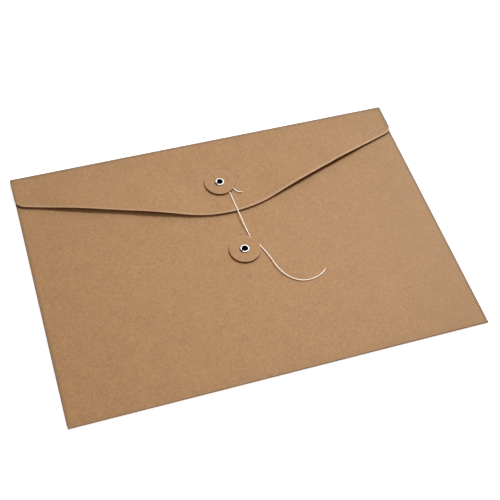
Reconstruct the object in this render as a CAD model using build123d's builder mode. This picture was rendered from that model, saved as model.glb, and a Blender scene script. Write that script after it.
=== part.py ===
# String tie envelope: a folded card pocket whose flap is held shut by a string
# wound under two card discs. Millimetres, +Z up, rear panel lying on z = 0,
# +Y towards the flap's fold, origin under the middle of the envelope.
import os
from math import pi, radians, tan

from build123d import *

# Card and folded size
envelope_width = 324.0
envelope_height = 229.0
card = 0.4
pocket_gap = 0.85
flap_gap = 1.4
pocket_inset = 0.4
panel_inset = 0.6
mouth_drop = 7.0

# Flap outline, depths counted from the closure fold's outer edge. Its point, where the
# slanted edges would meet, lies a little right of the middle line, and those edges are
# hollowed by the bow.
flap_left_depth = 28.8
flap_right_depth = 29.4
flap_point_depth = 85.6
flap_point_offset = 3.4
flap_flank_bow = 1.4
flap_tip_radius = 106.0
flap_left_radius = 9.5
flap_right_radius = 8.5

# Side seams
glue_flap_width = 15.0
glue_flap_taper = 8.0
glue_line_width = 8.0
glue_film = 0.1
seam_setback = 2.0

# Discs, their places counted down from the closure fold's outer edge and right from
# the middle line
disc_diameter = 25.0
disc_thickness = 0.5
upper_disc_drop = 47.6
upper_disc_offset = 1.8
lower_disc_drop = 116.0
lower_disc_offset = 2.2
disc_clearance = 0.1

# Eyelets
eyelet_bore = 4.8
eyelet_wall = 0.25
eyelet_floor = 0.2
flange_diameter = 7.2
flange_height = 0.7
flange_edge_radius = 0.45
clinch_diameter = 6.8
clinch_height = 0.4
clinch_edge_radius = 0.15
card_hole_clearance = 0.02

# String
string_diameter = 0.8
string_clearance = 0.1

# Heights of the layers, from the table up
rear_top = card
front_bottom = rear_top + pocket_gap
front_top = front_bottom + card
flap_bottom = front_top + flap_gap
flap_top = flap_bottom + card
disc_lift = string_diameter + 2 * string_clearance
glue_flap_bottom = rear_top + glue_film

# Outer radius of each half round crease, and the lines where creases meet flat card
bottom_fold_radius = front_top / 2
closure_fold_radius = flap_top / 2
side_fold_radius = (front_top - glue_flap_bottom) / 2
top_edge = envelope_height / 2
closure_line = top_edge - closure_fold_radius
bottom_line = bottom_fold_radius - envelope_height / 2
mouth_line = top_edge - mouth_drop
flap_half = envelope_width / 2
side_line = flap_half - pocket_inset - side_fold_radius
panel_half = flap_half - panel_inset
seam_bottom = bottom_line + seam_setback

# Eyelet places and radii
upper_centre = (upper_disc_offset, top_edge - upper_disc_drop)
lower_centre = (lower_disc_offset, top_edge - lower_disc_drop)
barrel_radius = eyelet_bore / 2 + eyelet_wall
card_hole_radius = barrel_radius + card_hole_clearance
disc_hole_radius = barrel_radius + disc_clearance

os.makedirs("parts", exist_ok=True)


def half_round(plane, centre, outer_radius, start_angle, length):
    # A crease: half a ring of card drawn on the plane and run along its normal
    with BuildPart() as crease:
        with BuildSketch(plane):
            with BuildLine():
                outside = CenterArc(centre, outer_radius, start_angle, 180)
                inside = CenterArc(centre, outer_radius - card, start_angle, 180)
                Line(outside @ 0, inside @ 0)
                Line(outside @ 1, inside @ 1)
            make_face()
        extrude(amount=length)
    return crease


def tie_disc(centre, bottom):
    # A card disc that turns freely on its eyelet
    with BuildPart() as disc:
        with BuildSketch(Plane.XY.offset(bottom)):
            with Locations(centre):
                Circle(disc_diameter / 2)
                Circle(disc_hole_radius, mode=Mode.SUBTRACT)
        extrude(amount=disc_thickness)
    return disc


def eyelet(centre, card_bottom, disc_top):
    # A hollow rivet with a closed tail: barrel, rolled flange over the disc and
    # clinched rim under the card
    axis_foot = (centre[0], centre[1], 0)
    bore_radius = eyelet_bore / 2
    flange_top = disc_top + flange_height
    clinch_bottom = card_bottom - clinch_height
    bore_floor = clinch_bottom + eyelet_floor
    with BuildPart() as rivet:
        with BuildSketch(Plane(origin=axis_foot, x_dir=(1, 0, 0), z_dir=(0, -1, 0))) as section:
            with BuildLine():
                Polyline(
                    (0, clinch_bottom),
                    (0, bore_floor),
                    (bore_radius, bore_floor),
                    (bore_radius, flange_top),
                    (flange_diameter / 2, flange_top),
                    (flange_diameter / 2, disc_top),
                    (barrel_radius, disc_top),
                    (barrel_radius, card_bottom),
                    (clinch_diameter / 2, card_bottom),
                    (clinch_diameter / 2, clinch_bottom),
                    close=True,
                )
            make_face()
            flange_corners = section.vertices().group_by(Axis.Y)[-1]
            fillet(flange_corners, flange_edge_radius)
            clinch_corner = section.vertices().group_by(Axis.Y)[0].sort_by(Axis.X)[-1]
            fillet(clinch_corner, clinch_edge_radius)
        revolve(axis=Axis(axis_foot, (0, 0, 1)))
    return rivet


def finish(builder, label):
    builder.part.label = label
    export_step(builder.part, f"parts/{label}.step")


# Rear panel, lying on the table
with BuildPart() as rear_panel:
    with BuildSketch(Plane.XY):
        with Locations((0, (closure_line + bottom_line) / 2)):
            Rectangle(2 * panel_half, closure_line - bottom_line)
    extrude(amount=card)
finish(rear_panel, "rear_panel")

# Front panel, with the lower eyelet's hole
with BuildPart() as front_panel:
    with BuildSketch(Plane.XY.offset(front_bottom)):
        with Locations((0, (mouth_line + bottom_line) / 2)):
            Rectangle(2 * side_line, mouth_line - bottom_line)
        with Locations(lower_centre):
            Circle(card_hole_radius, mode=Mode.SUBTRACT)
    extrude(amount=card)
finish(front_panel, "front_panel")

# Closure flap, with the upper eyelet's hole
with BuildPart() as closure_flap:
    with BuildSketch(Plane.XY.offset(flap_bottom)) as flap_outline:
        with BuildLine():
            left_corner = (-flap_half, top_edge - flap_left_depth)
            right_corner = (flap_half, top_edge - flap_right_depth)
            point = (flap_point_offset, top_edge - flap_point_depth)
            Polyline(left_corner, (-flap_half, closure_line), (flap_half, closure_line), right_corner)
            SagittaArc(left_corner, point, flap_flank_bow)
            SagittaArc(point, right_corner, flap_flank_bow)
        make_face()
        fillet(flap_outline.vertices().sort_by(Axis.Y)[0], flap_tip_radius)
        fillet(flap_outline.vertices().sort_by_distance(left_corner)[0], flap_left_radius)
        fillet(flap_outline.vertices().sort_by_distance(right_corner)[0], flap_right_radius)
        with Locations(upper_centre):
            Circle(card_hole_radius, mode=Mode.SUBTRACT)
    extrude(amount=card)
finish(closure_flap, "closure_flap")

# Creases that join the panels
bottom_fold = half_round(
    Plane.YZ.offset(-panel_half), (bottom_line, bottom_fold_radius), bottom_fold_radius, 90, 2 * panel_half
)
finish(bottom_fold, "bottom_fold")

closure_fold = half_round(
    Plane.YZ.offset(-flap_half), (closure_line, closure_fold_radius), closure_fold_radius, -90, 2 * flap_half
)
finish(closure_fold, "closure_fold")

# Side seams: crease, glue flap turned in under the front panel, and its glue
seam_length = mouth_line - seam_bottom
for side, name, start_angle in ((-1, "left", 90), (1, "right", -90)):
    side_fold = half_round(
        Plane.XZ.offset(-mouth_line),
        (side * side_line, glue_flap_bottom + side_fold_radius),
        side_fold_radius,
        start_angle,
        seam_length,
    )
    finish(side_fold, f"{name}_side_fold")

    with BuildPart() as glue_flap:
        with BuildSketch(Plane.XY.offset(glue_flap_bottom)):
            with BuildLine():
                Polyline(
                    (side * side_line, seam_bottom),
                    (side * side_line, mouth_line),
                    (side * (side_line - glue_flap_width), mouth_line - glue_flap_taper),
                    (side * (side_line - glue_flap_width), seam_bottom + glue_flap_taper),
                    close=True,
                )
            make_face()
        extrude(amount=card)
    finish(glue_flap, f"{name}_glue_flap")

    with BuildPart() as glue_line:
        with BuildSketch(Plane.XY.offset(rear_top)):
            with Locations((side * (side_line - glue_flap_width / 2), (seam_bottom + mouth_line) / 2)):
                Rectangle(glue_line_width, seam_length - 2 * glue_flap_taper)
        extrude(amount=glue_film)
    finish(glue_line, f"{name}_glue_line")

# Discs, held one string's height off the card, and their eyelets
upper_disc = tie_disc(upper_centre, flap_top + disc_lift)
finish(upper_disc, "upper_disc")

lower_disc = tie_disc(lower_centre, front_top + disc_lift)
finish(lower_disc, "lower_disc")

upper_eyelet = eyelet(upper_centre, flap_bottom, flap_top + disc_lift + disc_thickness)
finish(upper_eyelet, "upper_eyelet")

lower_eyelet = eyelet(lower_centre, front_bottom, front_top + disc_lift + disc_thickness)
finish(lower_eyelet, "lower_eyelet")

# String route, counted from the upper eyelet: short end, hairpin round the eyelet's
# barrel, pulled straight down over the flap's edge, under the lower disc's rim and
# out in a loose curl to the cut end
over_flap = flap_top + string_clearance + string_diameter / 2
over_front = front_top + string_clearance + string_diameter / 2
string_route = [
    (15.0, -13.9, over_flap),
    (12.6, -13.1, over_flap),
    (10.5, -11.4, over_flap),
    (9.5, -8.4, over_flap),
    (6.0, -2.6, over_flap),
    (1.8, 3.4, over_flap),
    (-2.1, 3.2, over_flap),
    (-3.8, -0.4, over_flap),
    (0.8, -6.6, over_flap),
    (5.4, -12.3, over_flap),
    (6.8, -43.9, over_flap),
    (7.9, -55.8, over_front),
    (9.0, -61.6, over_front),
    (12.2, -65.5, over_front),
    (14.5, -70.9, over_front),
    (17.7, -81.8, over_front),
    (19.8, -92.1, over_front),
    (24.0, -100.2, over_front),
    (29.6, -105.7, over_front),
    (36.0, -108.6, over_front),
    (42.4, -108.8, over_front),
    (48.9, -107.5, over_front),
    (53.5, -104.7, over_front),
    (55.6, -102.8, over_front),
]
bend_share = 0.45
route_points = [Vector(upper_centre[0] + x, upper_centre[1] + y, z) for x, y, z in string_route]
bend_radii = []
for before, corner, after in zip(route_points, route_points[1:], route_points[2:]):
    run_in = corner - before
    run_out = after - corner
    half_turn = radians(run_in.get_angle(run_out)) / 2
    bend_radii.append(bend_share * min(run_in.length, run_out.length) / tan(half_turn))

with BuildPart() as tie_string:
    with BuildLine() as string_path:
        FilletPolyline(*route_points, radius=bend_radii)
    path = string_path.wire()
    with BuildSketch(Plane(origin=path @ 0, z_dir=path % 0)):
        Circle(string_diameter / 2)
    sweep(path=path)
finish(tie_string, "tie_string")

tube_volume = pi * string_diameter**2 / 4 * path.length
print("string bend radii", [round(radius, 1) for radius in bend_radii])
print("string length", round(path.length, 1))
print("string volume over section times length", round(tie_string.part.volume / tube_volume, 4))
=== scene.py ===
import math

import bmesh
import bpy
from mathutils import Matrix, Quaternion, Vector


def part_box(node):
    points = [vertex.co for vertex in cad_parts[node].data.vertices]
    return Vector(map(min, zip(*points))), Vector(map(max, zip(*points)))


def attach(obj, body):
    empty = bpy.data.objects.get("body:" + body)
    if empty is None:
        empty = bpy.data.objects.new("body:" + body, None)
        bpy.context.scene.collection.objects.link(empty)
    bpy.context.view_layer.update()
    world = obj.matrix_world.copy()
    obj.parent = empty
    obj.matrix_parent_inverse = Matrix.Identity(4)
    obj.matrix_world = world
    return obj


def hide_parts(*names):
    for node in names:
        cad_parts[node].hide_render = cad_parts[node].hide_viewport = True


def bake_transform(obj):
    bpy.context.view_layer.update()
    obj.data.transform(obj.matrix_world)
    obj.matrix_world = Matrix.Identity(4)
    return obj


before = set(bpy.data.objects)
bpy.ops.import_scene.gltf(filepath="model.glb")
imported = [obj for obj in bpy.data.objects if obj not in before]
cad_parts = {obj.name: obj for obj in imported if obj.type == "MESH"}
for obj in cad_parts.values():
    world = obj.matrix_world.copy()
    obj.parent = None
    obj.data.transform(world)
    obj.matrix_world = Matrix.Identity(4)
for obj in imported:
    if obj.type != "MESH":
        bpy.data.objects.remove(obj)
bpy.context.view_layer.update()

mm = 0.001
slack = 0.01 * mm  # places closer than this count as one
weld = 0.002 * mm
tiny = 1e-6
scene = bpy.context.scene
scene.view_settings.view_transform = "Standard"
print("frame loaded:", len(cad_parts), "solids")


# camera at the photograph's place, rolled a little about its own axis
cameraSet = {
    "place": (-0.168519, -0.435192, 0.652674),
    "aim": (0.006595, -0.001677, 0.0),
    "roll": 5.5126,
    "lens": 73.323,
    "sensor": 36,
    "clipStart": 0.01,
}
lookAlong = Vector(cameraSet["aim"]) - Vector(cameraSet["place"])
turned = lookAlong.to_track_quat("-Z", "Y") @ Quaternion((0, 0, 1), math.radians(cameraSet["roll"]))
bpy.ops.object.camera_add(location=cameraSet["place"], rotation=turned.to_euler())
camera = bpy.context.object
camera.name = "productCamera"
camera.data.lens = cameraSet["lens"]
camera.data.sensor_width = cameraSet["sensor"]
camera.data.clip_start = cameraSet["clipStart"]
scene.camera = camera
print("camera set")


# small tools for working in edit mode
def clearSelection():
    if bpy.context.object and bpy.context.object.mode != "OBJECT":
        bpy.ops.object.mode_set(mode="OBJECT")
    bpy.ops.object.select_all(action="DESELECT")


def makeActive(piece):
    clearSelection()
    bpy.context.view_layer.objects.active = piece
    piece.select_set(True)


def nameNew(name):
    piece = bpy.context.object
    piece.name = name
    piece.data.name = name
    return piece


def editMode():
    bpy.ops.object.mode_set(mode="EDIT")
    bpy.ops.mesh.select_mode(type="VERT")


def objectMode():
    bpy.ops.object.mode_set(mode="OBJECT")


def selectAll():
    bpy.ops.mesh.select_all(action="SELECT")


def near(a, b, reach=slack):
    return abs(a - b) < reach


def pick(piece, kind, test):
    # selects only the vertices, edges or faces that pass the test
    bpy.ops.mesh.select_mode(type=kind)
    bpy.ops.mesh.select_all(action="DESELECT")
    cage = bmesh.from_edit_mesh(piece.data)
    for part in {"VERT": cage.verts, "EDGE": cage.edges, "FACE": cage.faces}[kind]:
        if test(part):
            part.select_set(True)
    bmesh.update_edit_mesh(piece.data)


def pickEdges(piece, test):
    pick(piece, "EDGE", lambda edge: all(test(v.co) for v in edge.verts))


def extrudeBy(x, y, z):
    bpy.ops.mesh.extrude_region_move(TRANSFORM_OT_translate={"value": (x, y, z)})


def spinBy(degrees, steps, centre, axis):
    # the operator turns left-handed, so the sign is turned round here
    bpy.ops.mesh.spin(steps=steps, angle=-math.radians(degrees), center=centre, axis=axis)


def drawOutline(name, start, steps):
    # a pen: one vertex pulled along lines and round arcs
    clearSelection()
    bpy.ops.mesh.primitive_plane_add(size=mm, location=start)
    piece = nameNew(name)
    bpy.ops.object.transform_apply()
    editMode()
    bpy.ops.mesh.merge(type="CENTER")
    here = Vector(start)
    for step in steps:
        if step[0] == "line":
            target = Vector(step[1])
            bpy.ops.mesh.extrude_vertices_move(TRANSFORM_OT_translate={"value": target - here})
        else:
            centre, degrees, count, axis, end = step[1:]
            spinBy(degrees, count, centre, axis)
            target = Vector(end)
        here = target
        pick(piece, "VERT", lambda v: (v.co - here).length < 2 * slack)
    return piece


def cutAt(axis, place):
    # one straight cut across the whole sheet
    spot, facing = [0, 0, 0], [0, 0, 0]
    spot[axis] = place
    facing[axis] = 1
    selectAll()
    bpy.ops.mesh.bisect(plane_co=spot, plane_no=facing, threshold=tiny)


def applyModifier(piece, kind, **settings):
    modifier = piece.modifiers.new(kind.lower(), kind)
    for key, value in settings.items():
        setattr(modifier, key, value)
    makeActive(piece)
    bpy.ops.object.modifier_apply(modifier=modifier.name)


def giveThickness(piece, card, **more):
    # the card's thickness, laid inwards, with a second finish on its cut edges
    applyModifier(piece, "SOLIDIFY", thickness=card, offset=-1, use_even_offset=True,
                  material_offset_rim=1, **more)


def swell(lift, reach, connected=False):
    # lifts what is selected by this many millimetres, and its surroundings less and less
    bpy.ops.transform.translate(
        value=(0, 0, lift * mm), use_proportional_edit=True, use_proportional_connected=connected,
        proportional_edit_falloff="SMOOTH", proportional_size=reach * mm,
    )


def smoothShade(piece, degrees=35):
    makeActive(piece)
    bpy.ops.object.shade_smooth_by_angle(angle=math.radians(degrees))


def centreOf(node):
    # the middle of a node's box, seen from above
    low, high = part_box(node)
    return ((low.x + high.x) / 2, (low.y + high.y) / 2)


def drillHole(piece, centre, radius, low, high, sides=48):
    # round hole through a card, cut with a throwaway drill
    clearSelection()
    bpy.ops.mesh.primitive_cylinder_add(
        vertices=sides, radius=radius, depth=high - low, location=(*centre, (low + high) / 2)
    )
    drill = nameNew("drill")
    bpy.ops.object.transform_apply()
    applyModifier(piece, "BOOLEAN", operation="DIFFERENCE", object=drill, solver="EXACT")
    bpy.data.objects.remove(drill)


def dress(piece, *materials):
    piece.data.materials.clear()
    for material in materials:
        piece.data.materials.append(material)


def writeMask(piece, name, amount):
    # a number at each vertex that the materials read as wear, and along edges as painted shade and painted
    # highlight
    mask = piece.data.attributes.new(name, "FLOAT", "POINT")
    mask.data.foreach_set("value", [amount(v.co) for v in piece.data.vertices])


def fade(distance, reach):
    # 1 at no distance, falling to 0 at the reach
    return max(0.0, 1.0 - max(0.0, distance) / reach)


# nodes
noiseSpread = (0.3, 0.7)  # where most of a noise lies
noiseMiddle = 0.5


def newGroup(name, inputs, outputs):
    group = bpy.data.node_groups.new(name, "ShaderNodeTree")
    for label, kind, value in inputs:
        socket = group.interface.new_socket(label, in_out="INPUT", socket_type=kind)
        socket.default_value = value
    for label, kind in outputs:
        group.interface.new_socket(label, in_out="OUTPUT", socket_type=kind)
    return group, group.nodes.new("NodeGroupInput"), group.nodes.new("NodeGroupOutput")


def addNode(tree, kind, **settings):
    node = tree.nodes.new(kind)
    for key, value in settings.items():
        setattr(node, key, value)
    return node


def objectPlace(tree):
    return addNode(tree, "ShaderNodeTexCoord").outputs["Object"]


def setSockets(node, values):
    for key, value in values.items():
        node.inputs[key].default_value = value


def mathNode(tree, operation, first, second):
    # each side is a socket or a plain number
    node = addNode(tree, "ShaderNodeMath", operation=operation)
    for socket, value in zip(node.inputs, (first, second)):
        if isinstance(value, (int, float)):
            socket.default_value = value
        else:
            tree.links.new(value, socket)
    return node.outputs[0]


def rangeNode(tree, value, fromLow, fromHigh, toLow=0.0, toHigh=1.0):
    node = addNode(tree, "ShaderNodeMapRange", clamp=True)
    tree.links.new(value, node.inputs["Value"])
    setSockets(node, {"From Min": fromLow, "From Max": fromHigh, "To Min": toLow, "To Max": toHigh})
    return node.outputs["Result"]


def mixColour(tree, factor, first, second):
    node = addNode(tree, "ShaderNodeMix", data_type="RGBA")
    for index, value in ((0, factor), (6, first), (7, second)):
        if hasattr(value, "is_linked"):
            tree.links.new(value, node.inputs[index])
        else:
            node.inputs[index].default_value = value
    return node.outputs[2]


def noiseNode(tree, vector, scale, detail=3.0, roughness=0.55, distortion=0.0):
    node = addNode(tree, "ShaderNodeTexNoise")
    tree.links.new(vector, node.inputs["Vector"])
    setSockets(node, {"Scale": scale, "Detail": detail, "Roughness": roughness, "Distortion": distortion})
    return node.outputs["Fac"]


# card: cloudy pulp, short fibres in three directions and a few dark flecks
fibreSet = {
    "cloudScale": 55, "cloudSway": 0.10,
    "pulpScale": 430, "pulpSway": 0.34, "pulpRise": 0.8,
    "grainScale": 2600, "grainSway": 0.30, "grainRise": 0.4,
    "strandTurns": (12, 74, -48),  # degrees
    "strandSize": (1 / 300, 1 / 4200, 1 / 600), "strandShift": 0.01,
    "strandBand": (0.60, 0.76), "strandPale": 0.34, "strandRise": 0.5,
    "fleckScale": 330, "fleckFrom": 0.72, "fleckBand": (0.08, 0.24), "fleckDark": 0.42,
    "roughness": (0.38, 0.46),
    "depth": 0.04 * mm,
}


def buildKraftFibre():
    group, inside, out = newGroup(
        "kraftFibre",
        [
            ("Base", "NodeSocketColor", (0.46, 0.28, 0.15, 1)),
            ("Pale", "NodeSocketColor", (0.62, 0.43, 0.27, 1)),
            ("Dark", "NodeSocketColor", (0.26, 0.14, 0.07, 1)),
            ("Mottle", "NodeSocketFloat", 1.0),
            ("Fibre", "NodeSocketFloat", 1.0),
        ],
        [("Color", "NodeSocketColor"), ("Height", "NodeSocketFloat"), ("Rough", "NodeSocketFloat")],
    )
    place = objectPlace(group)
    cloud = noiseNode(group, place, fibreSet["cloudScale"], 3)
    pulp = noiseNode(group, place, fibreSet["pulpScale"], 5, 0.6)
    grain = noiseNode(group, place, fibreSet["grainScale"], 3, 0.6)
    fibres = 0.0
    for degrees in fibreSet["strandTurns"]:
        lay = addNode(group, "ShaderNodeMapping", vector_type="TEXTURE")
        setSockets(lay, {
            "Rotation": (0, 0, math.radians(degrees)),
            "Scale": fibreSet["strandSize"],
            "Location": (degrees * fibreSet["strandShift"], 0, 0),  # keeps the three layers apart
        })
        group.links.new(place, lay.inputs["Vector"])
        strand = rangeNode(group, noiseNode(group, lay.outputs[0], 1, 2, 0.5, 0.5), *fibreSet["strandBand"])
        fibres = mathNode(group, "MAXIMUM", fibres, strand)
    cells = addNode(group, "ShaderNodeTexVoronoi")
    cells.inputs["Scale"].default_value = fibreSet["fleckScale"]
    group.links.new(place, cells.inputs["Vector"])
    cellSplit = addNode(group, "ShaderNodeSeparateColor")
    group.links.new(cells.outputs["Color"], cellSplit.inputs[0])
    chosen = mathNode(group, "GREATER_THAN", cellSplit.outputs[0], fibreSet["fleckFrom"])
    speck = rangeNode(group, cells.outputs["Distance"], *fibreSet["fleckBand"], 1, 0)
    fleck = mathNode(group, "MULTIPLY", speck, chosen)

    tone, height = 0.0, 0.0
    for layer, name in ((cloud, "cloud"), (pulp, "pulp"), (grain, "grain")):
        swing = mathNode(group, "SUBTRACT", layer, noiseMiddle)
        tone = mathNode(group, "ADD", tone, mathNode(group, "MULTIPLY", swing, fibreSet[name + "Sway"]))
    for layer, name in ((pulp, "pulp"), (fibres, "strand"), (grain, "grain")):
        height = mathNode(group, "ADD", height, mathNode(group, "MULTIPLY", layer, fibreSet[name + "Rise"]))
    tone = mathNode(group, "ADD", mathNode(group, "MULTIPLY", tone, inside.outputs["Mottle"]), 1.0)
    scaled = addNode(group, "ShaderNodeVectorMath", operation="SCALE")
    group.links.new(inside.outputs["Base"], scaled.inputs[0])
    group.links.new(tone, scaled.inputs["Scale"])
    colour = scaled.outputs[0]
    for mask, share, tint in ((fibres, "strandPale", "Pale"), (fleck, "fleckDark", "Dark")):
        amount = mathNode(group, "MULTIPLY", mathNode(group, "MULTIPLY", mask, fibreSet[share]),
                          inside.outputs["Fibre"])
        colour = mixColour(group, amount, colour, inside.outputs[tint])
    group.links.new(colour, out.inputs["Color"])
    group.links.new(height, out.inputs["Height"])
    group.links.new(rangeNode(group, pulp, *noiseSpread, *fibreSet["roughness"]), out.inputs["Rough"])
    return group


edgePatchSet = {"breakScale": 700, "breakBand": (0.25, 0.65), "breakShare": (0.55, 1.0)}


def buildEdgeTone():
    # creases go darker, partly wear and partly painted shade; edges go paler, partly wear and partly a
    # painted highlight
    group, inside, out = newGroup(
        "edgeTone",
        [
            ("Color", "NodeSocketColor", (0.46, 0.28, 0.15, 1)),
            ("Crease", "NodeSocketFloat", 0.0),
            ("Rub and highlight", "NodeSocketFloat", 0.0),
            ("Crease tint", "NodeSocketColor", (0.55, 0.65, 0.84, 1)),
            ("Rub and highlight tint", "NodeSocketColor", (0.66, 0.46, 0.29, 1)),
        ],
        [("Color", "NodeSocketColor")],
    )
    place = objectPlace(group)
    patches = noiseNode(group, place, edgePatchSet["breakScale"], 3)
    broken = rangeNode(group, patches, *edgePatchSet["breakBand"], *edgePatchSet["breakShare"])
    creaseMask = mathNode(group, "MULTIPLY", inside.outputs["Crease"], broken)
    rubLitMask = mathNode(group, "MULTIPLY", inside.outputs["Rub and highlight"], broken)
    shadeTinted = addNode(group, "ShaderNodeVectorMath", operation="MULTIPLY")
    group.links.new(inside.outputs["Color"], shadeTinted.inputs[0])
    group.links.new(inside.outputs["Crease tint"], shadeTinted.inputs[1])
    creased = mixColour(group, creaseMask, inside.outputs["Color"], shadeTinted.outputs[0])
    group.links.new(mixColour(group, rubLitMask, creased, inside.outputs["Rub and highlight tint"]), out.inputs["Color"])
    return group


kraftFibre = buildKraftFibre()
edgeTone = buildEdgeTone()


def newMaterial(name):
    material = bpy.data.materials.new(name)
    material.use_nodes = True
    tree = material.node_tree
    tree.nodes.clear()
    shader = tree.nodes.new("ShaderNodeBsdfPrincipled")
    output = tree.nodes.new("ShaderNodeOutputMaterial")
    tree.links.new(shader.outputs[0], output.inputs["Surface"])
    return material, tree, shader


def addGroup(tree, group, **values):
    node = addNode(tree, "ShaderNodeGroup", node_tree=group)
    setSockets(node, values)
    return node


def bumpInto(tree, shader, height, distance, strength):
    bump = addNode(tree, "ShaderNodeBump")
    setSockets(bump, {"Distance": distance, "Strength": strength})
    tree.links.new(height, bump.inputs["Height"])
    tree.links.new(bump.outputs[0], shader.inputs["Normal"])


def kraftMaterial(name, look, shadeMarks=None):
    material, tree, shader = newMaterial(name)
    fibre = addGroup(tree, kraftFibre, Base=look["base"], Pale=look["pale"], Dark=look["dark"],
                     Mottle=look["mottle"], Fibre=look["fibre"])
    tone = addGroup(tree, edgeTone)
    tone.inputs["Rub and highlight tint"].default_value = look["pale"]
    crease = addNode(tree, "ShaderNodeAttribute", attribute_name="creaseWearAndShade")
    # creases take wear and painted shade, pale edges take wear and a painted highlight
    rub = addNode(tree, "ShaderNodeAttribute", attribute_name="edgeWearAndHighlight")
    tree.links.new(fibre.outputs["Color"], tone.inputs["Color"])
    tree.links.new(crease.outputs["Fac"], tone.inputs["Crease"])
    tree.links.new(rub.outputs["Fac"], tone.inputs["Rub and highlight"])
    colour = tone.outputs["Color"]
    # painted shade: the marks darken the colour by the shade tint
    if shadeMarks:
        shadeTinted = addNode(tree, "ShaderNodeVectorMath", operation="MULTIPLY")
        shadeTinted.inputs[1].default_value = look["shadeTint"]
        tree.links.new(colour, shadeTinted.inputs[0])
        colour = mixColour(tree, shadeMarks(tree), colour, shadeTinted.outputs[0])
    tree.links.new(colour, shader.inputs["Base Color"])
    tree.links.new(fibre.outputs["Rough"], shader.inputs["Roughness"])
    shader.inputs["Specular IOR Level"].default_value = look["gloss"]
    bumpInto(tree, shader, fibre.outputs["Height"], fibreSet["depth"], look["bump"])
    return material


kraftLook = {
    "base": (0.428, 0.241, 0.111, 1), "pale": (0.74, 0.54, 0.36, 1), "dark": (0.22, 0.115, 0.05, 1),
    "mottle": 1.6, "fibre": 1.2, "gloss": 0.08, "bump": 0.35, "shadeTint": (0.60, 0.33, 0.13),
}
# cut edges are darker brown, partly the card's own tone and partly painted shade along the rims
cutLook = {
    "base": (0.30, 0.145, 0.052, 1), "pale": (0.46, 0.27, 0.13, 1), "dark": (0.18, 0.08, 0.03, 1),
    "mottle": 1.4, "fibre": 1.0, "gloss": 0.02, "bump": 0.6,
}
kraftCard = kraftMaterial("kraftCard", kraftLook)
kraftCut = kraftMaterial("kraftCutEdge", cutLook)


def flatDistance(tree, place, centre):
    # how far a point lies from an upright line, seen from above
    flat = addNode(tree, "ShaderNodeVectorMath", operation="MULTIPLY")
    flat.inputs[1].default_value = (1, 1, 0)
    tree.links.new(place, flat.inputs[0])
    gap = addNode(tree, "ShaderNodeVectorMath", operation="DISTANCE")
    gap.inputs[1].default_value = (centre[0], centre[1], 0)
    tree.links.new(flat.outputs[0], gap.inputs[0])
    return gap.outputs["Value"]


def bandMask(tree, value, rise, fall):
    # one between the end of the rise and the start of the fall
    up = rangeNode(tree, value, *rise)
    return mathNode(tree, "MULTIPLY", up, rangeNode(tree, value, *fall, 1.0, 0.0))


def splitPlace(tree):
    # where a point is, also split into its three numbers
    place = objectPlace(tree)
    split = addNode(tree, "ShaderNodeSeparateXYZ")
    tree.links.new(place, split.inputs[0])
    return place, split.outputs


rimSet = {"rise": (10.6 * mm, 11.6 * mm), "fall": (12.4 * mm, 12.9 * mm)}


def rimShade(tree, node, above):
    # painted shade: a dark ring on the card under the disc's rim, where the disc's shadow falls
    place, axes = splitPlace(tree)
    ring = bandMask(tree, flatDistance(tree, place, centreOf(node)), rimSet["rise"], rimSet["fall"])
    return mathNode(tree, "MULTIPLY", ring, mathNode(tree, "GREATER_THAN", axes["Z"], above))


def besideEyelets(tree, offset, band, share):
    # a round spot at the same place beside each eyelet
    place = objectPlace(tree)
    spots = []
    for node in ("upper_eyelet", "lower_eyelet"):
        x, y = centreOf(node)
        gap = flatDistance(tree, place, (x + offset[0], y + offset[1]))
        spots.append(rangeNode(tree, gap, *band, share, 0.0))
    return mathNode(tree, "MAXIMUM", *spots)


print("card materials made")


# twisted cotton: fine pale streaks, a soft nap, painted shade on its underside and a painted glow
cottonLook = {
    "nap": ((0.95, 0.89, 0.80, 1), (0.99, 0.955, 0.90, 1)),
    "napScale": 5200, "napDepth": 0.04 * mm, "bump": 0.5,
    "drift": (0.90, 0.83, 0.74, 1), "driftScale": 240, "driftBand": (0.45, 0.75), "driftShare": 0.2,
    "under": (0.47, 0.32, 0.19, 1), "underBand": (0.65, 0.1),  # painted shade on faces that look down, by how far a face looks up
    "stringGlow": (1.0, 0.84, 0.69, 1), "stringGlowUnder": (0.12, 0.07, 0.035, 1),  # painted glow, weaker on the underside
    "stringGlowStrength": 0.34, "roughness": 0.85, "gloss": 0.2, "sheen": 0.3,
}


def cottonMaterial():
    material, tree, shader = newMaterial("cottonTwist")
    coords = addNode(tree, "ShaderNodeTexCoord")
    place = coords.outputs["Object"]
    nap = noiseNode(tree, place, cottonLook["napScale"], 3)
    drift = noiseNode(tree, place, cottonLook["driftScale"], 2)
    facing = addNode(tree, "ShaderNodeSeparateXYZ")
    tree.links.new(coords.outputs["Normal"], facing.inputs[0])
    under = rangeNode(tree, facing.outputs["Z"], *cottonLook["underBand"])
    shade = mixColour(tree, rangeNode(tree, nap, *noiseSpread), *cottonLook["nap"])
    drifted = rangeNode(tree, drift, *cottonLook["driftBand"], 0.0, cottonLook["driftShare"])
    shade = mixColour(tree, drifted, shade, cottonLook["drift"])
    # painted shade: faces that look down go darker
    shade = mixColour(tree, under, shade, cottonLook["under"])
    # painted glow: the string gives off a little light of its own
    stringGlow = mixColour(tree, under, cottonLook["stringGlow"], cottonLook["stringGlowUnder"])
    tree.links.new(shade, shader.inputs["Base Color"])
    tree.links.new(stringGlow, shader.inputs["Emission Color"])
    setSockets(shader, {
        "Roughness": cottonLook["roughness"], "Specular IOR Level": cottonLook["gloss"],
        "Sheen Weight": cottonLook["sheen"], "Emission Strength": cottonLook["stringGlowStrength"],
    })
    bumpInto(tree, shader, nap, cottonLook["napDepth"], cottonLook["bump"])
    return material


cottonTwist = cottonMaterial()


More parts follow.
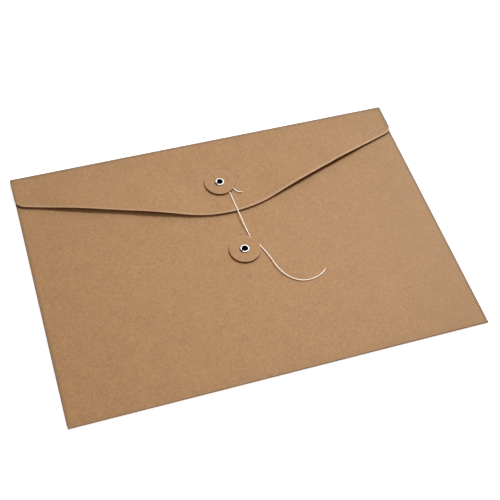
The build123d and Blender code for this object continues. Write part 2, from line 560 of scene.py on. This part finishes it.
# tie string, first of the pieces: its route follows the solid's, in millimetres
# from the upper eyelet, over the flap and then over the front panel
stringSet = {
    "diameter": 0.8 * mm,
    "plies": 3,
    "plyRadius": 0.31 * mm,
    "plyOffset": 0.11 * mm,
    "pitch": 1.9 * mm,
    "order": 3, "smoothness": 40, "plySides": 1,
    "overFlap": 3.95,
    "overFront": 2.15,
    "flapRun": [
        (15.0, -13.9), (12.6, -13.1), (10.5, -11.4), (9.5, -8.4), (6.0, -2.6), (1.8, 3.4), (-2.1, 3.2),
        (-3.8, -0.4), (0.8, -6.6), (5.1, -10.6), (5.5, -17.9), (6.2, -32.0), (6.8, -43.9),
    ],
    "frontRun": [
        (7.9, -55.8), (9.0, -61.6), (12.2, -65.5), (14.5, -70.9), (17.7, -81.8), (19.8, -92.1),
        (24.0, -100.2), (29.6, -105.7), (36.0, -108.6), (42.4, -108.8), (48.9, -107.5), (53.5, -104.7),
        (55.6, -102.8),
    ],
    "frontLifts": (0, 0, 0, 0.2, 0.7, 0.8, 0.5, 0.2, 0, 0, 0, 0, 0),  # springs up as it leaves the disc
}


def buildString():
    pivot = [round(value / mm, 1) for value in centreOf("upper_eyelet")]
    route = [(x, y, stringSet["overFlap"]) for x, y in stringSet["flapRun"]]
    for (x, y), lift in zip(stringSet["frontRun"], stringSet["frontLifts"]):
        route.append((x, y, stringSet["overFront"] + lift))
    lineData = bpy.data.curves.new("stringLine", "CURVE")
    lineData.dimensions = "3D"
    lineData.resolution_u = stringSet["smoothness"]
    spline = lineData.splines.new("NURBS")
    spline.points.add(len(route) - 1)
    for point, (x, y, z) in zip(spline.points, route):
        point.co = ((pivot[0] + x) * mm, (pivot[1] + y) * mm, z * mm, 1)
    spline.order_u = stringSet["order"]
    spline.use_endpoint_u = True
    line = bpy.data.objects.new("stringLine", lineData)
    scene.collection.objects.link(line)
    lineMesh = bpy.data.meshes.new_from_object(line)
    path = [v.co.copy() for v in lineMesh.vertices]
    bpy.data.objects.remove(line)

    strands = []
    up = Vector((0, 0, 1))
    for ply in range(stringSet["plies"]):
        strandData = bpy.data.curves.new("ply", "CURVE")
        strandData.dimensions = "3D"
        strandData.bevel_depth = stringSet["plyRadius"]
        strandData.bevel_resolution = stringSet["plySides"]
        strandData.use_fill_caps = True
        strand = strandData.splines.new("POLY")
        strand.points.add(len(path) - 1)
        run = 0.0
        for index, here in enumerate(path):
            before, after = path[max(index - 1, 0)], path[min(index + 1, len(path) - 1)]
            run += (here - before).length
            along = (after - before).normalized()
            across = along.cross(up).normalized()
            over = across.cross(along)
            phase = 2 * math.pi * (run / stringSet["pitch"] + ply / stringSet["plies"])
            spot = here + (across * math.cos(phase) + over * math.sin(phase)) * stringSet["plyOffset"]
            strand.points[index].co = (*spot, 1)
        strandObject = bpy.data.objects.new("ply", strandData)
        scene.collection.objects.link(strandObject)
        strands.append(strandObject)
    clearSelection()
    for strandObject in strands:
        strandObject.select_set(True)
    bpy.context.view_layer.objects.active = strands[0]
    bpy.ops.object.convert(target="MESH")
    bpy.ops.object.join()
    piece = nameNew("tieString")
    dress(piece, cottonTwist)
    bpy.ops.object.shade_smooth()
    return piece, path


tieString, stringPath = buildString()
stringLength = sum((b - a).length for a, b in zip(stringPath, stringPath[1:]))
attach(tieString, "string")
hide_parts("tie_string")
print("string laid, mm:", round(stringLength / mm, 1))


# closure flap's outline, which also leaves its line on the pocket
flapSet = {
    "card": 0.4 * mm,
    "leftEnd": 85.7 * mm,
    "rightEnd": 85.1 * mm,
    "point": (3.4 * mm, 28.9 * mm),
    "bow": 1.4 * mm,  # hollow of the slanted edges
    "tipRadius": 106 * mm,
    "leftRadius": 9.5 * mm,
    "rightRadius": 8.5 * mm,
    "cornerSteps": 10, "flankSteps": 30, "tipSteps": 44,
    "bands": (0.3, 0.4, 0.5, 1.2, 1.8),
    "cutStep": 6.0 * mm,
    "hole": 2.67 * mm, "drillPast": 0.3 * mm,
    "sortFrom": 200 * mm,  # a place past the fold, round which the outline is put in order
    "cornerShare": 0.4,
    "lifts": [  # place along the free edge, lift and reach
        ((-110, 71), 1.40, 40), ((-62, 55), 1.65, 50), ((66, 56), 1.50, 38), ((104, 68), 1.45, 42),
        ((-158, 88), -0.10, 24), ((157, 88), -0.20, 22),
    ],
    "markFrom": 3.3 * mm,  # the painted shade shows above this height
    "rubLitLeft": 0.3, "rubLitRight": 0.5, "rubLitInset": 0.8 * mm, "rubLitReach": 1.4 * mm,
    "dullShadeTop": 0.95, "dullShadeTopReach": 2.4 * mm,
    "dullShadeSide": 0.9, "dullShadeSideReach": 1.6 * mm, "insetLeft": 0.8 * mm, "insetRight": 1.6 * mm,
}


def hollowArc(a, b, bow):
    # centre and radius of the arc from a to b that stands off its chord by the bow, towards the fold
    chord = b - a
    radius = (chord.length_squared / 4 + bow * bow) / (2 * bow)
    off = Vector((-chord.y, chord.x, 0)).normalized()
    return (a + b) / 2 + off * (bow - radius), radius


def meetAbove(p, pReach, q, qReach):
    # the upper point at these distances from two places
    apart = q - p
    along = (pReach ** 2 - qReach ** 2 + apart.length_squared) / (2 * apart.length)
    off = Vector((-apart.y, apart.x, 0)).normalized()
    return p + apart.normalized() * along + off * math.sqrt(pReach ** 2 - along ** 2)


def turnBetween(centre, start, end):
    a, b = start - centre, end - centre
    return math.degrees(math.atan2(a.cross(b).z, a.dot(b)))


def flapLayout():
    # centres and radii of the arcs round the free edge, left to right
    low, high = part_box("closure_flap")
    top = high.z
    left, right = Vector((low.x, flapSet["leftEnd"], top)), Vector((high.x, flapSet["rightEnd"], top))
    point = Vector((*flapSet["point"], top))
    leftHub, leftRadius = hollowArc(left, point, flapSet["bow"])
    rightHub, rightRadius = hollowArc(point, right, flapSet["bow"])
    tip = flapSet["tipRadius"]
    tipHub = meetAbove(leftHub, leftRadius + tip, rightHub, rightRadius + tip)
    return (leftHub, leftRadius), (tipHub, tip), (rightHub, rightRadius)


# pocket: one sheet, folded up from the back and round both sides
pocketSet = {
    "card": 0.4 * mm,
    "columns": 54,
    "rearRows": 20,
    "frontRows": 36,
    "foldSteps": 10,
    "sideSteps": 8,
    "setback": 2.0 * mm,
    "taper": 8.0 * mm,
    "hole": 2.67 * mm, "drill": (1.0 * mm, 2.4 * mm),
    "creaseReach": 2.4 * mm, "firstShare": 0.4,  # two rows beside a crease, the first narrower
    "dullShadeLeft": 0.6, "dullShadeRight": 0.8, "dullShadeLow": 0.25, "rubLitLow": 0.15, "rubLitFrom": 0.1 * mm,
    "waveCore": 5 * mm, "waveDepth": 0.8 * mm,
    "waves": [  # place, lift and reach of slight swells in the front
        ((-95, -15), 0.30, 62), ((100, 5), -0.18, 58), ((-70, -70), -0.15, 40), ((75, -65), 0.2, 38),
    ],
    "markFrom": 1.0 * mm,  # the painted shade shows above this height
    "lineRise": (-0.8 * mm, 0.0), "lineFall": (1.0 * mm, 3.2 * mm),
    "lineEnds": (-80 * mm, 80 * mm), "lineShares": (0.15, 0.85),
}


def pocketShade(tree):
    # painted shade: a dark line under the flap's free edge, stronger on the right, and a dark ring under the
    # lower disc's rim
    (leftHub, leftRadius), (tipHub, tip), (rightHub, rightRadius) = flapLayout()
    place, axes = splitPlace(tree)
    onLeft = mathNode(tree, "SUBTRACT", flatDistance(tree, place, leftHub), leftRadius)
    onRight = mathNode(tree, "SUBTRACT", flatDistance(tree, place, rightHub), rightRadius)
    atTip = mathNode(tree, "SUBTRACT", tip, flatDistance(tree, place, tipHub))
    tipLow = (leftHub + (tipHub - leftHub).normalized() * leftRadius).x
    tipHigh = (rightHub + (tipHub - rightHub).normalized() * rightRadius).x
    inTip = mathNode(tree, "MULTIPLY", mathNode(tree, "GREATER_THAN", axes["X"], tipLow),
                     mathNode(tree, "LESS_THAN", axes["X"], tipHigh))
    cover = mathNode(tree, "MINIMUM", onLeft, onRight)
    shift = mathNode(tree, "MULTIPLY", inTip, mathNode(tree, "SUBTRACT", atTip, cover))
    line = bandMask(tree, mathNode(tree, "ADD", cover, shift), pocketSet["lineRise"], pocketSet["lineFall"])
    strength = rangeNode(tree, axes["X"], *pocketSet["lineEnds"], *pocketSet["lineShares"])
    line = mathNode(tree, "MULTIPLY", line, strength)
    line = mathNode(tree, "MULTIPLY", line, mathNode(tree, "GREATER_THAN", axes["Z"], pocketSet["markFrom"]))
    ring = rimShade(tree, "lower_eyelet", pocketSet["markFrom"])
    return mathNode(tree, "MAXIMUM", line, ring)


def buildPocket():
    rearLow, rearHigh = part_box("rear_panel")
    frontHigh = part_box("front_panel")[1]
    seamLow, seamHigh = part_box("right_side_fold")
    flapLow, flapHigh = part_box("right_glue_flap")
    half, frontHalf = rearHigh.x, frontHigh.x
    reach, share, setback = (pocketSet[key] for key in ("creaseReach", "firstShare", "setback"))
    columns, rearRows, frontRows = (pocketSet[key] for key in ("columns", "rearRows", "frontRows"))
    clearSelection()
    bpy.ops.mesh.primitive_grid_add(x_subdivisions=columns, y_subdivisions=rearRows, size=1)
    piece = nameNew("pocketCard")
    editMode()
    selectAll()
    bpy.ops.transform.resize(value=(2 * half, rearHigh.y - rearLow.y, 1))
    bpy.ops.transform.translate(value=(0, (rearLow.y + rearHigh.y) / 2, rearLow.z))
    bpy.ops.mesh.flip_normals()  # the outside of the back faces the table
    for inset in (share * reach, reach):
        cutAt(0, inset - half)
        cutAt(0, half - inset)
        cutAt(1, rearLow.y + inset)

    # bottom crease, then the front row by row
    pickEdges(piece, lambda co: near(co.y, rearLow.y))
    spinBy(-180, pocketSet["foldSteps"], (0, rearLow.y, frontHigh.z / 2), (1, 0, 0))
    pickEdges(piece, lambda co: near(co.y, rearLow.y) and near(co.z, frontHigh.z))
    extrudeBy(0, share * setback, 0)
    extrudeBy(0, (1 - share) * setback, 0)
    bpy.ops.transform.resize(value=(frontHalf / half, 1, 1))
    rowStep = (frontHigh.y - rearLow.y - setback) / frontRows
    for row in range(frontRows):
        extrudeBy(0, rowStep, 0)

    # side creases and the glue flaps that they turn in
    seamMiddle = (seamLow.y + seamHigh.y) / 2
    seamLength = seamHigh.y - seamLow.y
    narrowed = 1 - 2 * pocketSet["taper"] / seamLength
    for side in (-1, 1):
        edge = side * frontHalf

        def onSeam(co):
            return near(co.x, edge) and near(co.z, frontHigh.z) and co.y > seamLow.y - slack

        pickEdges(piece, onSeam)
        spinBy(side * 180, pocketSet["sideSteps"], (edge, 0, (seamLow.z + seamHigh.z) / 2), (0, 1, 0))
        pickEdges(piece, lambda co: near(co.x, edge) and near(co.z, seamLow.z))
        extrudeBy(-side * (flapHigh.x - flapLow.x), 0, 0)
        bpy.ops.transform.resize(value=(1, narrowed, 1), center_override=(0, seamMiddle, 0))

    # slight swells, so the front isn't dead flat
    for (x, y), lift, spread in pocketSet["waves"]:
        spot = Vector((x * mm, y * mm, frontHigh.z))

        def inCore(v):
            onFront = near(v.co.z, frontHigh.z, pocketSet["waveDepth"])
            return onFront and (v.co - spot).length < pocketSet["waveCore"]

        pick(piece, "VERT", inCore)
        swell(lift, spread, connected=True)
    objectMode()

    # sides go darker, partly wear and partly painted shade; the bottom crease goes paler, painted light on a
    # fold facing away from the lamps, with some wear
    full, slope = share * reach, (1 - share) * reach

    def dulledAndShaded(co):
        low = pocketSet["dullShadeLow"] * fade(co.y - rearLow.y - full, slope)
        offSeam = co.z < seamLow.z - slack or co.y < seamLow.y - slack
        if offSeam or abs(co.x) < frontHalf - reach:
            return low
        atSide = fade(frontHalf - abs(co.x) - full, slope)
        return max(low, atSide * pocketSet["dullShadeRight" if co.x > 0 else "dullShadeLeft"])

    def rubbedAndLit(co):
        return pocketSet["rubLitLow"] * fade(co.y - rearLow.y, full) if co.z > pocketSet["rubLitFrom"] else 0.0

    writeMask(piece, "creaseWearAndShade", dulledAndShaded)
    writeMask(piece, "edgeWearAndHighlight", rubbedAndLit)
    dress(piece, kraftMaterial("kraftPocket", kraftLook, pocketShade), kraftCut)
    giveThickness(piece, pocketSet["card"], use_quality_normals=True)
    drillHole(piece, centreOf("lower_eyelet"), pocketSet["hole"], *pocketSet["drill"])
    smoothShade(piece)
    return piece


pocketCard = buildPocket()
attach(pocketCard, "pocket")
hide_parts("rear_panel", "front_panel", "bottom_fold", "left_side_fold", "right_side_fold",
            "left_glue_flap", "right_glue_flap")
print("pocket folded:", len(pocketCard.data.polygons), "faces")


def edgeDistance(spot, outline):
    # how far a point lies from a line of joined points, seen from above
    best = 1.0
    for a, b in zip(outline, outline[1:]):
        run = (b - a).xy
        part = (spot - a).xy
        t = min(1.0, max(0.0, part.dot(run) / run.length_squared))
        best = min(best, (part - run * t).length)
    return best


def cutSheet(axis, low, high, step):
    # straight cuts across the whole sheet, evenly spaced
    count = max(1, round((high - low) / step))
    for index in range(1, count):
        cutAt(axis, low + (high - low) * index / count)


def flapShade(tree):
    # painted shade: the dark ring under the upper disc's rim
    return rimShade(tree, "upper_eyelet", flapSet["markFrom"])


# outline drawn with the pen, filled, then cut into a fine sheet
def buildFlap():
    low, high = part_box("closure_flap")
    top = high.z
    leftRound, rightRound = flapSet["leftRadius"], flapSet["rightRadius"]
    corner, flank, tipCount = flapSet["cornerSteps"], flapSet["flankSteps"], flapSet["tipSteps"]
    (leftHub, leftRadius), (tipHub, tip), (rightHub, rightRadius) = flapLayout()
    leftDrop = math.sqrt((leftRadius + leftRound) ** 2 - (low.x + leftRound - leftHub.x) ** 2)
    rightDrop = math.sqrt((rightRadius + rightRound) ** 2 - (high.x - rightRound - rightHub.x) ** 2)
    leftCorner = Vector((low.x + leftRound, leftHub.y + leftDrop, top))
    rightCorner = Vector((high.x - rightRound, rightHub.y + rightDrop, top))
    stops = [
        (leftCorner, Vector((low.x, leftCorner.y, top)), corner),
        (leftHub, leftHub + (leftCorner - leftHub).normalized() * leftRadius, flank),
        (tipHub, leftHub + (tipHub - leftHub).normalized() * leftRadius, tipCount),
        (rightHub, rightHub + (tipHub - rightHub).normalized() * rightRadius, flank),
        (rightCorner, rightHub + (rightCorner - rightHub).normalized() * rightRadius, corner),
        (None, Vector((high.x, rightCorner.y, top)), 0),
    ]
    steps = [("line", stops[0][1])]
    for (hub, start, count), following in zip(stops, stops[1:]):
        end = following[1]
        steps.append(("arc", hub, turnBetween(hub, start, end), count, (0, 0, 1), end))
    steps.append(("line", Vector((high.x, high.y, top))))
    piece = drawOutline("closureFlap", Vector((low.x, high.y, top)), steps)
    outline = [v.co.copy() for v in bmesh.from_edit_mesh(piece.data).verts]
    outline.sort(key=lambda co: math.atan2(co.y - flapSet["sortFrom"], co.x))  # left to right
    freeEdge = [co for co in outline if co.y < leftCorner.y - flapSet["cornerShare"] * leftRound]
    selectAll()
    bpy.ops.mesh.edge_face_add()
    bpy.ops.mesh.select_mode(type="FACE")
    selectAll()
    if bmesh.from_edit_mesh(piece.data).faces[:][0].normal.z < 0:
        bpy.ops.mesh.flip_normals()  # the outside of the flap faces up
    for band in flapSet["bands"]:
        bpy.ops.mesh.inset(thickness=band * mm, use_even_offset=True)
    bpy.ops.mesh.select_mode(type="VERT")
    cutSheet(0, low.x, high.x, flapSet["cutStep"])
    cutSheet(1, low.y, high.y, flapSet["cutStep"])

    # the free edge stands a little off the pocket between its tied middle and its corners
    for (x, y), lift, reach in flapSet["lifts"]:
        spot = Vector((x * mm, y * mm, top))
        places = [v.co.copy() for v in bmesh.from_edit_mesh(piece.data).verts]
        closest = min(places, key=lambda co: (co - spot).xy.length)
        pick(piece, "VERT", lambda v: (v.co - closest).length < tiny)
        swell(lift, reach)
    objectMode()

    # the free edge goes paler, partly wear and partly a painted highlight; the fold and the sides go darker,
    # partly wear and partly painted shade
    def rubbedAndLit(co):
        amount = flapSet["rubLitRight" if co.x > 0 else "rubLitLeft"]
        return amount * fade(edgeDistance(co, freeEdge) - flapSet["rubLitInset"], flapSet["rubLitReach"])

    def dulledAndShaded(co):
        inset = flapSet["insetRight" if co.x > 0 else "insetLeft"]
        atTop = fade(high.y - co.y, flapSet["dullShadeTopReach"])
        atSide = fade(high.x - abs(co.x) - inset, flapSet["dullShadeSideReach"])
        return max(flapSet["dullShadeTop"] * atTop, flapSet["dullShadeSide"] * atSide)

    writeMask(piece, "edgeWearAndHighlight", rubbedAndLit)
    writeMask(piece, "creaseWearAndShade", dulledAndShaded)
    dress(piece, kraftMaterial("kraftFlap", kraftLook, flapShade), kraftCut)
    giveThickness(piece, flapSet["card"])
    past = flapSet["drillPast"]
    drillHole(piece, centreOf("upper_eyelet"), flapSet["hole"], low.z - past, high.z + past)
    smoothShade(piece)
    return piece


closureFlap = buildFlap()
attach(closureFlap, "flap")
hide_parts("closure_flap")
print("flap cut:", len(closureFlap.data.polygons), "faces")


# closure crease
foldSet = {
    "card": 0.4 * mm, "columns": 54, "steps": 14,
    "dullShade": 0.35, "dullShadeMore": 0.6, "fullFrom": 0.75, "dullShadeReach": 0.7,  # by the angle up the crease
}


def buildFold():
    low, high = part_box("closure_fold")
    radius = high.z / 2
    clearSelection()
    bpy.ops.mesh.primitive_grid_add(x_subdivisions=foldSet["columns"], y_subdivisions=1, size=1)
    piece = nameNew("closureFold")
    editMode()
    selectAll()
    bpy.ops.transform.resize(value=(high.x - low.x, 1, 1))
    pick(piece, "VERT", lambda v: v.co.y > 0)
    bpy.ops.mesh.delete(type="VERT")
    selectAll()
    bpy.ops.transform.translate(value=(0, low.y + 0.5, low.z))  # the row that is left lies at -0.5
    spinBy(180, foldSet["steps"], (0, low.y, radius), (1, 0, 0))
    selectAll()
    bpy.ops.mesh.normals_make_consistent(inside=False)
    cage = bmesh.from_edit_mesh(piece.data)
    cage.faces.ensure_lookup_table()
    middle = min(cage.faces, key=lambda face: abs(face.calc_center_median().z - radius))
    if middle.normal.y < 0:
        bpy.ops.mesh.flip_normals()
    objectMode()

    # the crease goes darker towards its top, partly wear and partly painted shade
    def dulledAndShaded(co):
        upward = math.atan2(co.z - radius, co.y - low.y)
        more = fade(foldSet["fullFrom"] - upward, foldSet["dullShadeReach"])
        return foldSet["dullShade"] + foldSet["dullShadeMore"] * more

    writeMask(piece, "creaseWearAndShade", dulledAndShaded)
    dress(piece, kraftCard, kraftCut)
    giveThickness(piece, foldSet["card"])
    smoothShade(piece)
    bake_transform(piece)
    return piece


closureFold = buildFold()
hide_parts("closure_fold")
print("crease bent:", len(closureFold.data.polygons), "faces")


# tie discs: a card section with softened rims, spun round its eyelet
discSet = {
    "hole": 2.75 * mm, "soften": 0.12 * mm, "softSteps": 3, "rings": 11, "steps": 96,
    "pressed": 0.05 * mm, "pressReach": 5.2 * mm,
    # the rim goes paler: wear and a painted highlight
    "rub": 0.3, "rubLitReach": 0.5 * mm,
    "flangeShadow": (-0.72 * mm, -0.22 * mm), "flangeShadowBand": (3.4 * mm, 4.0 * mm),
    "upright": 0.8,  # faces that look up less than this are the cut edge
}
# the disc's shade tint is near black, for the flange's painted shadow
discLook = {**kraftLook, "base": (0.434, 0.245, 0.114, 1), "shadeTint": (0.14, 0.11, 0.09)}


def discShade(tree):
    # painted shadow: a dark crescent beside each eyelet, where the flange's shadow falls on the disc
    return besideEyelets(tree, discSet["flangeShadow"], discSet["flangeShadowBand"], 1.0)


discCard = kraftMaterial("discCard", discLook, discShade)


def buildDisc(name, node):
    low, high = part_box(node)
    centre = centreOf(node)
    radius = (high.x - low.x) / 2
    width = radius - discSet["hole"]
    middle = (centre[0] + discSet["hole"] + width / 2, centre[1], (low.z + high.z) / 2)
    clearSelection()
    bpy.ops.mesh.primitive_plane_add(size=1, rotation=(math.pi / 2, 0, 0))
    piece = nameNew(name)
    bpy.ops.object.transform_apply()
    editMode()
    selectAll()
    bpy.ops.transform.resize(value=(width, 1, high.z - low.z))
    bpy.ops.transform.translate(value=middle)
    pick(piece, "VERT", lambda v: near(v.co.x, high.x))
    bpy.ops.mesh.bevel(affect="VERTICES", offset=discSet["soften"], segments=discSet["softSteps"])
    selectAll()
    bpy.ops.mesh.delete(type="ONLY_FACE")
    pickEdges(piece, lambda co: near(co.z, high.z))
    bpy.ops.mesh.subdivide(number_cuts=discSet["rings"])
    pick(piece, "VERT", lambda v: near(v.co.z, high.z) and v.co.x - centre[0] < discSet["pressReach"])
    bpy.ops.transform.translate(value=(0, 0, -discSet["pressed"]))
    selectAll()
    spinBy(360, discSet["steps"], (*centre, 0), (0, 0, 1))
    selectAll()
    bpy.ops.mesh.remove_doubles(threshold=weld)
    bpy.ops.mesh.normals_make_consistent(inside=False)
    objectMode()

    def rubbedAndLit(co):
        inside = radius - math.hypot(co.x - centre[0], co.y - centre[1])
        return discSet["rub"] * fade(inside, discSet["rubLitReach"])

    writeMask(piece, "edgeWearAndHighlight", rubbedAndLit)
    dress(piece, discCard, kraftCut)
    # the disc's cut side takes the darker cut-edge finish, partly painted shade under the rim
    for face in piece.data.polygons:
        face.material_index = int(abs(face.normal.z) < discSet["upright"])
    smoothShade(piece)
    return piece


upperDisc = buildDisc("upperDisc", "upper_disc")
lowerDisc = buildDisc("lowerDisc", "lower_disc")
for disc, body in ((upperDisc, "upper_disc"), (lowerDisc, "lower_disc")):
    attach(disc, body)
    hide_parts(body)
print("discs cut")


# eyelets: bore, rolled flange, barrel and clinched tail in one spun section
eyeletSet = {
    "bore": 2.4 * mm, "barrel": 2.65 * mm, "flange": 3.6 * mm, "clinch": 3.4 * mm,
    "roll": 0.45 * mm, "rollSteps": 7, "flangeHeight": 0.7 * mm, "clinchHeight": 0.4 * mm, "floor": 0.2 * mm,
    "flangeEase": (0.1 * mm, 0.08 * mm), "clinchEase": (0.12 * mm, 0.1 * mm), "tailEase": 0.15 * mm,
    "steps": 72, "sharp": 40,
    "blackReach": 0.32 * mm, "blackFrom": 0.1 * mm,
}
nickelLook = {
    "plate": ((0.40, 0.397, 0.39, 1), (0.50, 0.497, 0.49, 1)), "hazeScale": 1400,
    "rubScale": 3200, "roughness": (0.26, 0.36),
    "flangeShade": (0.03, 0.026, 0.022, 1), "spot": (-2.9 * mm, -1.3 * mm),
    "spotBand": (0.55 * mm, 1.05 * mm), "spotShare": 0.95,
}
boreLook = {
    "boreShade": ((0.004, 0.004, 0.005, 1), (0.012, 0.011, 0.011, 1)), "boreShadeScale": 2400,
    "roughness": (0.7, 0.9), "gloss": 0.08,
}


def nickelMaterial():
    # bright plating with faint rub marks, and painted shade at one spot on each flange, towards the front
    # left
    material, tree, shader = newMaterial("nickelPlate")
    place = objectPlace(tree)
    plate = mixColour(tree, noiseNode(tree, place, nickelLook["hazeScale"], 4), *nickelLook["plate"])
    spot = besideEyelets(tree, nickelLook["spot"], nickelLook["spotBand"], nickelLook["spotShare"])
    tree.links.new(mixColour(tree, spot, plate, nickelLook["flangeShade"]), shader.inputs["Base Color"])
    rub = noiseNode(tree, place, nickelLook["rubScale"], 3)
    tree.links.new(rangeNode(tree, rub, *noiseSpread, *nickelLook["roughness"]), shader.inputs["Roughness"])
    shader.inputs["Metallic"].default_value = 1.0
    return material


def boreMaterial():
    # near-black inside of the eyelet: painted shade of the deep hole
    material, tree, shader = newMaterial("shadedBore")
    place = objectPlace(tree)
    boreShade = noiseNode(tree, place, boreLook["boreShadeScale"], 3)
    tree.links.new(mixColour(tree, boreShade, *boreLook["boreShade"]), shader.inputs["Base Color"])
    tree.links.new(rangeNode(tree, boreShade, *noiseSpread, *boreLook["roughness"]), shader.inputs["Roughness"])
    shader.inputs["Specular IOR Level"].default_value = boreLook["gloss"]
    return material


nickelPlate = nickelMaterial()
shadedBore = boreMaterial()


def buildEyelet(name, node):
    low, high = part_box(node)
    x, y = centreOf(node)
    sizes = ("roll", "rollSteps", "bore", "flange", "barrel", "clinch", "floor", "tailEase")
    roll, rollSteps, bore, flange, barrel, clinch, floor, tailEase = (eyeletSet[key] for key in sizes)
    flangeIn, flangeUp = eyeletSet["flangeEase"]
    clinchIn, clinchDown = eyeletSet["clinchEase"]
    seat = high.z - eyeletSet["flangeHeight"]
    tail = low.z
    under = tail + eyeletSet["clinchHeight"]

    def at(radius, z):
        return (x + radius, y, z)

    steps = [
        ("line", at(bore, tail + floor)),
        ("line", at(bore, high.z - roll)),
        ("arc", at(bore + roll, high.z - roll), 90, rollSteps, (0, 1, 0), at(bore + roll, high.z)),
        ("line", at(flange - roll, high.z)),
        ("arc", at(flange - roll, high.z - roll), 90, rollSteps, (0, 1, 0), at(flange, high.z - roll)),
        ("line", at(flange, seat + flangeUp)),
        ("line", at(flange - flangeIn, seat)),
        ("line", at(barrel, seat)),
        ("line", at(barrel, under)),
        ("line", at(clinch - clinchIn, under)),
        ("line", at(clinch, under - clinchDown)),
        ("line", at(clinch, tail + tailEase)),
        ("line", at(clinch - tailEase, tail)),
        ("line", at(0, tail)),
    ]
    piece = drawOutline(name, at(0, tail + floor), steps)
    selectAll()
    spinBy(360, eyeletSet["steps"], (x, y, 0), (0, 0, 1))
    selectAll()
    bpy.ops.mesh.remove_doubles(threshold=weld)
    bpy.ops.mesh.normals_make_consistent(inside=False)
    objectMode()
    dress(piece, nickelPlate, shadedBore)
    # faces inside the bore, its closed floor too, take the near-black painted shade
    for face in piece.data.polygons:
        reach = math.hypot(face.center.x - x, face.center.y - y)
        inside = reach < bore + eyeletSet["blackReach"]
        face.material_index = int(inside and face.center.z > tail + eyeletSet["blackFrom"])
    smoothShade(piece, eyeletSet["sharp"])
    return piece


upperEyelet = buildEyelet("upperEyelet", "upper_eyelet")
lowerEyelet = buildEyelet("lowerEyelet", "lower_eyelet")
for eyelet, node, body in ((upperEyelet, "upper_eyelet", "flap"), (lowerEyelet, "lower_eyelet", "pocket")):
    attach(eyelet, body)
    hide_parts(node)
print("eyelets spun")


# the two glue lines keep their solids: dried white glue, a little yellow and uneven
glueLook = {
    "pool": ((0.70, 0.63, 0.48, 1), (0.86, 0.82, 0.70, 1)), "poolScale": 320,
    "roughness": (0.25, 0.5), "depth": 0.05 * mm, "bump": 0.4,
}


def glueMaterial():
    material, tree, shader = newMaterial("driedGlue")
    place = objectPlace(tree)
    pool = noiseNode(tree, place, glueLook["poolScale"], 4)
    tree.links.new(mixColour(tree, pool, *glueLook["pool"]), shader.inputs["Base Color"])
    tree.links.new(rangeNode(tree, pool, *noiseSpread, *glueLook["roughness"]), shader.inputs["Roughness"])
    bumpInto(tree, shader, pool, glueLook["depth"], glueLook["bump"])
    return material


driedGlue = glueMaterial()
for node in ("left_glue_line", "right_glue_line"):
    dress(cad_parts[node], driedGlue)
print("glue coloured")


# pale table, soft light from behind on the right, a small light above the discs,
# a warm one low on the left, and an even fill
stageSet = {
    "floorSize": 12,
    "floorDrop": 0.1 * mm,
    "floor": ((0.84, 0.84, 0.84, 1), (0.86, 0.86, 0.86, 1)), "floorScale": 3, "floorRoughness": 0.9,
    "glow": (0.75, 1.0), "glowBand": (0.5, 1.6),  # under the part and far off, and where it changes
    "fill": 0.03,
    "lights": [  # name, place, aim, size, power, colour
        ("skyLight", (0.88, 1.98, 1.60), (0.0, 0.0, 0.0), 3.0, 54.2, (1, 1, 1)),
        ("keyLight", (1.50, 1.50, 2.45), (0.0, 0.0, 0.0), 0.4, 50.4, (1, 1, 1)),
        ("topLight", (0.022, -0.020, 0.17), (0.022, -0.020, 0.0), 0.3, 0.134, (1, 1, 1)),
        ("lowLight", (-0.50, -0.80, 0.30), (0.0, 0.0, 0.0), 0.4, 2.2, (1.0, 0.72, 0.58)),
    ],
}


def addSoftbox(name, place, aim, size, power, colour):
    facing = Vector(aim) - Vector(place)
    bpy.ops.object.light_add(type="AREA", location=place, rotation=facing.to_track_quat("-Z", "Y").to_euler())
    light = bpy.context.object
    light.name = name
    light.data.shape = "SQUARE"
    light.data.size = size
    light.data.energy = power
    light.data.color = colour
    light.visible_camera = False


def seenRays(tree):
    # 1 where the camera, a mirror or clear glass looks, so the surroundings are white there
    rays = addNode(tree, "ShaderNodeLightPath")
    seen = mathNode(tree, "MAXIMUM", rays.outputs["Is Camera Ray"], rays.outputs["Is Glossy Ray"])
    return mathNode(tree, "MAXIMUM", seen, rays.outputs["Is Transmission Ray"])


def buildStage():
    clearSelection()
    bpy.ops.mesh.primitive_plane_add(size=stageSet["floorSize"], location=(0, 0, -stageSet["floorDrop"]))
    floor = nameNew("tableTop")
    bpy.ops.object.transform_apply()
    material, tree, shader = newMaterial("paleTable")
    place = objectPlace(tree)
    cloud = noiseNode(tree, place, stageSet["floorScale"], 2)
    tree.links.new(mixColour(tree, cloud, *stageSet["floor"]), shader.inputs["Base Color"])
    setSockets(shader, {"Roughness": stageSet["floorRoughness"], "Specular IOR Level": 0.0})
    glow = addNode(tree, "ShaderNodeEmission")
    away = rangeNode(tree, flatDistance(tree, place, (0, 0)), *stageSet["glowBand"], *stageSet["glow"])
    tree.links.new(mathNode(tree, "MULTIPLY", seenRays(tree), away), glow.inputs["Strength"])
    both = addNode(tree, "ShaderNodeAddShader")
    tree.links.new(shader.outputs[0], both.inputs[0])
    tree.links.new(glow.outputs[0], both.inputs[1])
    output = next(node for node in tree.nodes if node.type == "OUTPUT_MATERIAL")
    tree.links.new(both.outputs[0], output.inputs["Surface"])
    dress(floor, material)

    world = bpy.data.worlds.new("studioFill")
    world.use_nodes = True
    sky = world.node_tree
    fill = sky.nodes["Background"]
    fill.inputs["Color"].default_value = (1, 1, 1, 1)
    strength = mathNode(sky, "MAXIMUM", seenRays(sky), stageSet["fill"])
    sky.links.new(strength, fill.inputs["Strength"])
    scene.world = world

    for light in stageSet["lights"]:
        addSoftbox(*light)


buildStage()
print("stage lit")
